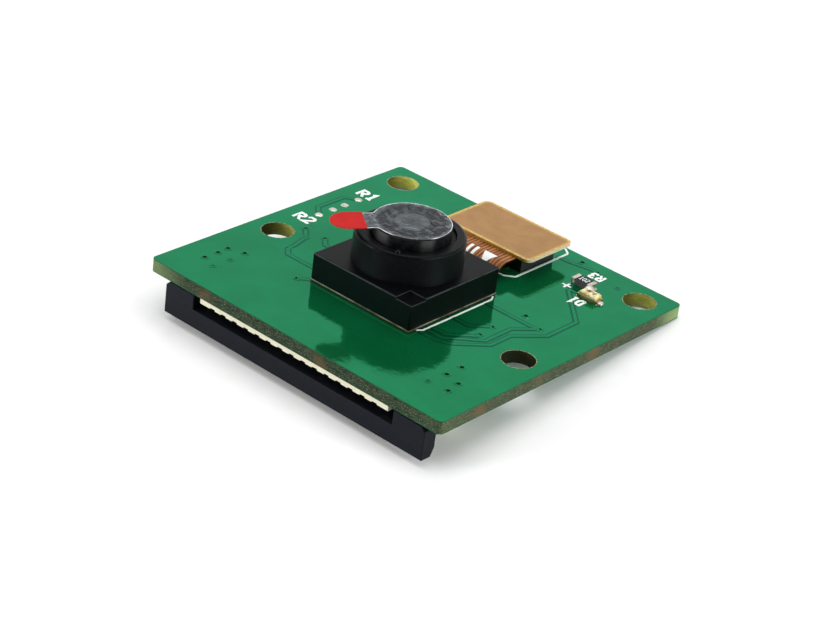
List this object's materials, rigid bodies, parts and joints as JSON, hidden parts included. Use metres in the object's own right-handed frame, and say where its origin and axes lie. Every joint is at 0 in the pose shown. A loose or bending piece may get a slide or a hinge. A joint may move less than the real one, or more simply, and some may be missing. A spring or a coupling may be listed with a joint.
{
  "type": "camera module board",
  "caption": "Small square camera board: a round lens on a square holder, a flex lead to a plug, a lamp, and a sliding ribbon connector under one edge.",
  "frame": {"origin": "centre of the four mounting holes, on the underside of the circuit board", "axes": "+X along the ribbon connector's edge, +Y away from that edge, +Z out of the lens"},
  "size_m": [0.025, 0.024, 0.0081],
  "materials": {
    "solder_mask": "glossy green solder mask over glass-fibre laminate",
    "bare_solder": "dull tinned solder",
    "connector_black": "moulded, fine satin",
    "connector_cream": "moulded nylon, satin",
    "tin_plate": "tin plated spring metal",
    "tape": "double-sided foam tape",
    "substrate": "laminate with gold edge",
    "silicon": "polished silicon",
    "ceramic_tan": "fired ceramic",
    "filter_glass": "coated glass, pale cyan",
    "holder_black": "moulded, satin black",
    "barrel_black": "moulded, smooth black",
    "lens_clear": "moulded optical plastic",
    "stop_black": "blackened film",
    "glue": "cured adhesive",
    "film_clear": "clear soft film",
    "tab_red": "printed film",
    "flex_orange": "amber polyimide over copper tracks",
    "stiffener_tan": "smooth tan laminate with pale cut edge",
    "plug_black": "moulded, satin",
    "gold_plate": "gold flash",
    "lamp_white": "pale laminate",
    "lamp_resin": "honey-coloured clear resin",
    "resistor_black": "glazed black with pale digits",
    "package_black": "moulded epoxy",
    "clock_ceramic": "fired ceramic",
    "lid_metal": "nickel plated lid"
  },
  "bodies": {
    "board": {"circuit_board": "solder_mask", "bare_pads": "bare_solder", "ribbon_housing": "connector_cream", "ribbon_contacts": "tin_plate", "hold_down_tabs": "tin_plate", "module_tape": "tape", "sensor_substrate": "substrate", "image_sensor": "silicon", "module_capacitors": "ceramic_tan", "infrared_filter": "filter_glass", "lens_holder": "holder_black", "glue_dot": "glue", "flex_circuit": "flex_orange", "stiffener": "stiffener_tan", "board_socket": "plug_black", "flex_plug": "plug_black", "socket_contacts": "gold_plate", "plug_contacts": "gold_plate", "lamp_base": "lamp_white", "lamp_terminals": "gold_plate", "lamp_dome": "lamp_resin", "resistor_body": "resistor_black", "resistor_terminals": "bare_solder", "regulator_bodies": "package_black", "regulator_leads": "tin_plate", "transistor_body": "package_black", "transistor_leads": "tin_plate", "clock_base": "clock_ceramic", "clock_lid": "lid_metal", "underside_capacitors": "ceramic_tan", "capacitor_terminals": "bare_solder", "underside_resistors": "resistor_black", "underside_terminals": "bare_solder"},
    "slider": {"connector_slider": "connector_black"},
    "lens": {"lens_barrel": "barrel_black", "front_lens": "lens_clear", "second_lens": "lens_clear", "third_lens": "lens_clear", "rear_lens": "lens_clear", "aperture_stop": "stop_black", "lens_spacers": "stop_black", "retaining_ring": "stop_black"},
    "film": {"protective_film": "film_clear", "pull_tab": "tab_red"}
  },
  "joints": [
    {"name": "slider_pull", "type": "slide", "parent": "board", "child": "slider", "axis": [0, -1, 0], "range_m": [0, 0.001]},
    {"name": "lens_focus", "type": "hinge", "parent": "board", "child": "lens", "pos_m": [0, -0.0053, 0.0035], "axis": [0, 0, 1], "range_deg": [-90, 270]},
    {"name": "film_lift", "type": "slide", "parent": "lens", "child": "film", "axis": [0, 0, 1], "range_m": [0, 0.008]}
  ]
}
